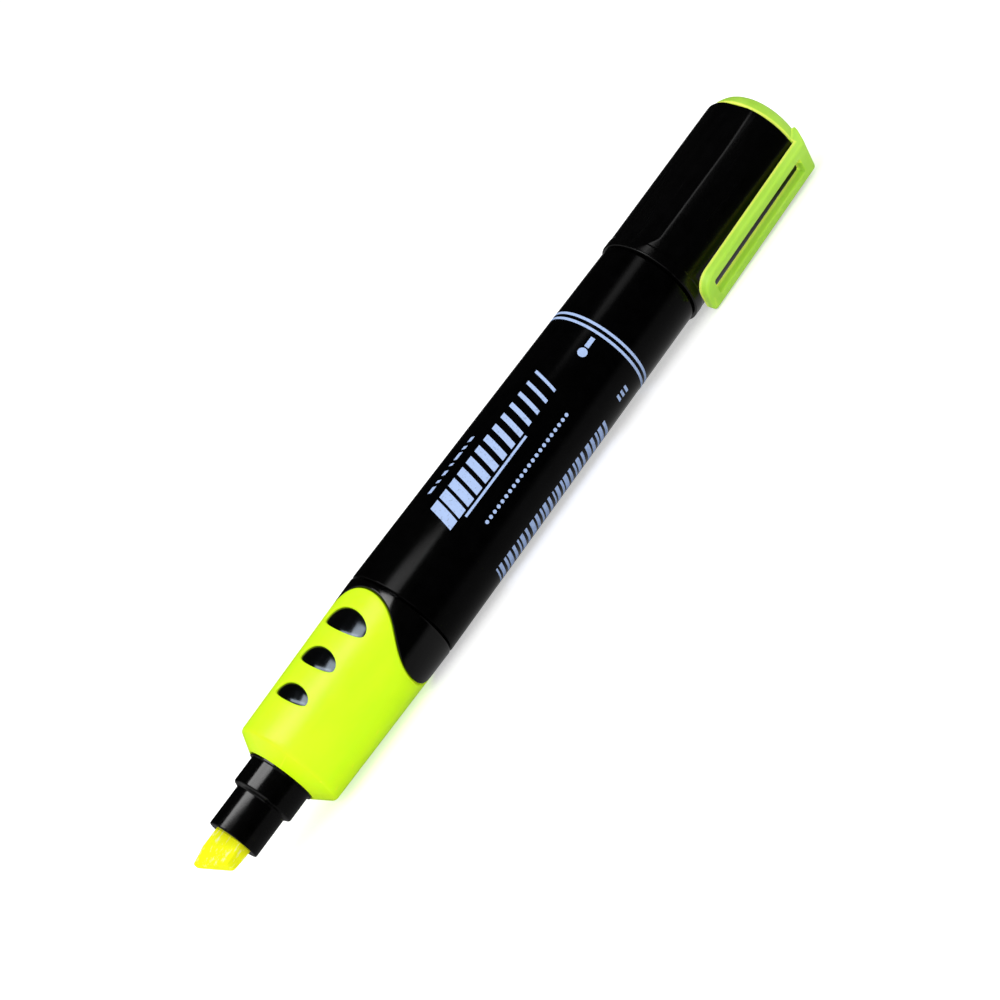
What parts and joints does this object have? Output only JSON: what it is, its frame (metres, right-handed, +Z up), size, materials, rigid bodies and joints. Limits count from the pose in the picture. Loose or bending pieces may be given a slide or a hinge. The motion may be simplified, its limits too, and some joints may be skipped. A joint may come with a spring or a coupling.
{
  "type": "highlighter pen",
  "caption": "Chisel-nib highlighter with a windowed neon grip sleeve and a clip cap posted on its rear, lying on its side.",
  "frame": {"origin": "on the floor below the middle of the lying pen's box", "axes": "+X along the pen from the nib to the cap's crown, +Z up, clip side towards -Y and down"},
  "size_m": [0.1425, 0.0199, 0.0176],
  "materials": {
    "nib_fibre": "matt pressed fibre soaked in yellow ink",
    "black_gloss": "glossy moulded",
    "neon_plastic": "semi-gloss fluorescent yellow-green",
    "black_satin": "satin",
    "cap_black": "semi-gloss moulded",
    "neon_translucent": "semi-translucent fluorescent, edges glow",
    "ink_fibre": "soft bundled fibre",
    "clear_film": "thin film",
    "pale_plastic": "natural moulded"
  },
  "bodies": {
    "pen": {"nib": "nib_fibre", "front_section": "black_gloss", "grip_sleeve": "neon_plastic", "barrel": "black_satin", "ink_reservoir": "ink_fibre", "reservoir_film": "clear_film", "end_plug": "black_satin"},
    "cap": {"cap_shell": "cap_black", "cap_liner": "pale_plastic", "cap_crown": "neon_translucent"},
    "clip": {"clip": "neon_translucent"}
  },
  "joints": [
    {"name": "cap_slide", "type": "slide", "parent": "pen", "child": "cap", "axis": [1, 0, 0], "range_m": [0, 0.03]},
    {"name": "clip_flex", "type": "hinge", "parent": "cap", "child": "clip", "pos_m": [0.0676, -0.00662, 0.00365], "axis": [0, -0.5534, 0.8329], "range_deg": [0, 5], "stiffness_Nm_per_rad": 1.6}
  ]
}
